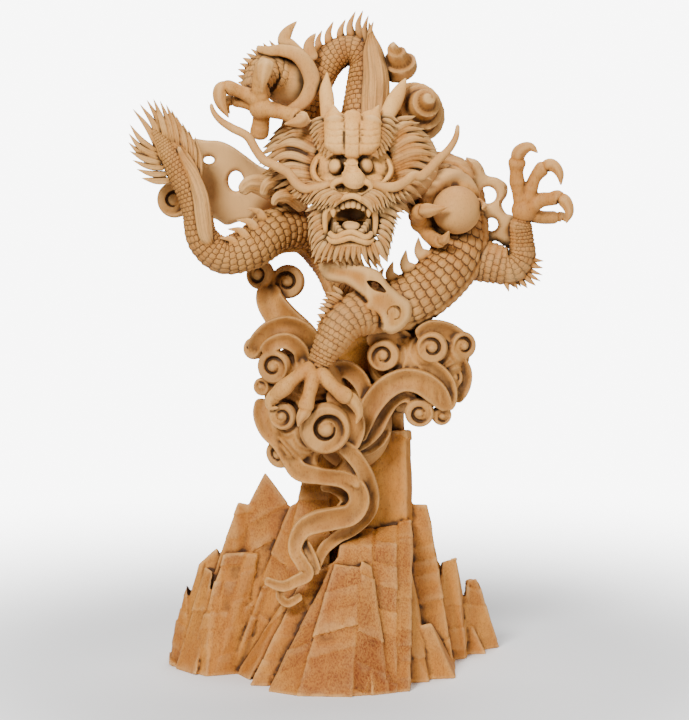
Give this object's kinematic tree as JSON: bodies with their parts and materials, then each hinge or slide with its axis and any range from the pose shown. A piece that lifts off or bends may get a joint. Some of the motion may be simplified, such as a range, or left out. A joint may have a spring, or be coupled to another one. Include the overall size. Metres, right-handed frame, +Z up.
{
  "type": "carved wooden dragon",
  "caption": "Carved wooden dragon coiled above scrolling clouds on a post of split rocks, with a pearl in its claw.",
  "frame": {"origin": "centre of the bounding box's underside, on the surface that the carving stands on", "axes": "+Z up, +X to the viewer's right when facing the dragon, and the dragon looks towards -Y"},
  "size_m": [0.434, 0.24, 0.6611],
  "materials": {
    "carved_wood": "satin"
  },
  "bodies": {
    "root": {"dragon_carving": "carved_wood"}
  },
  "joints": []
}
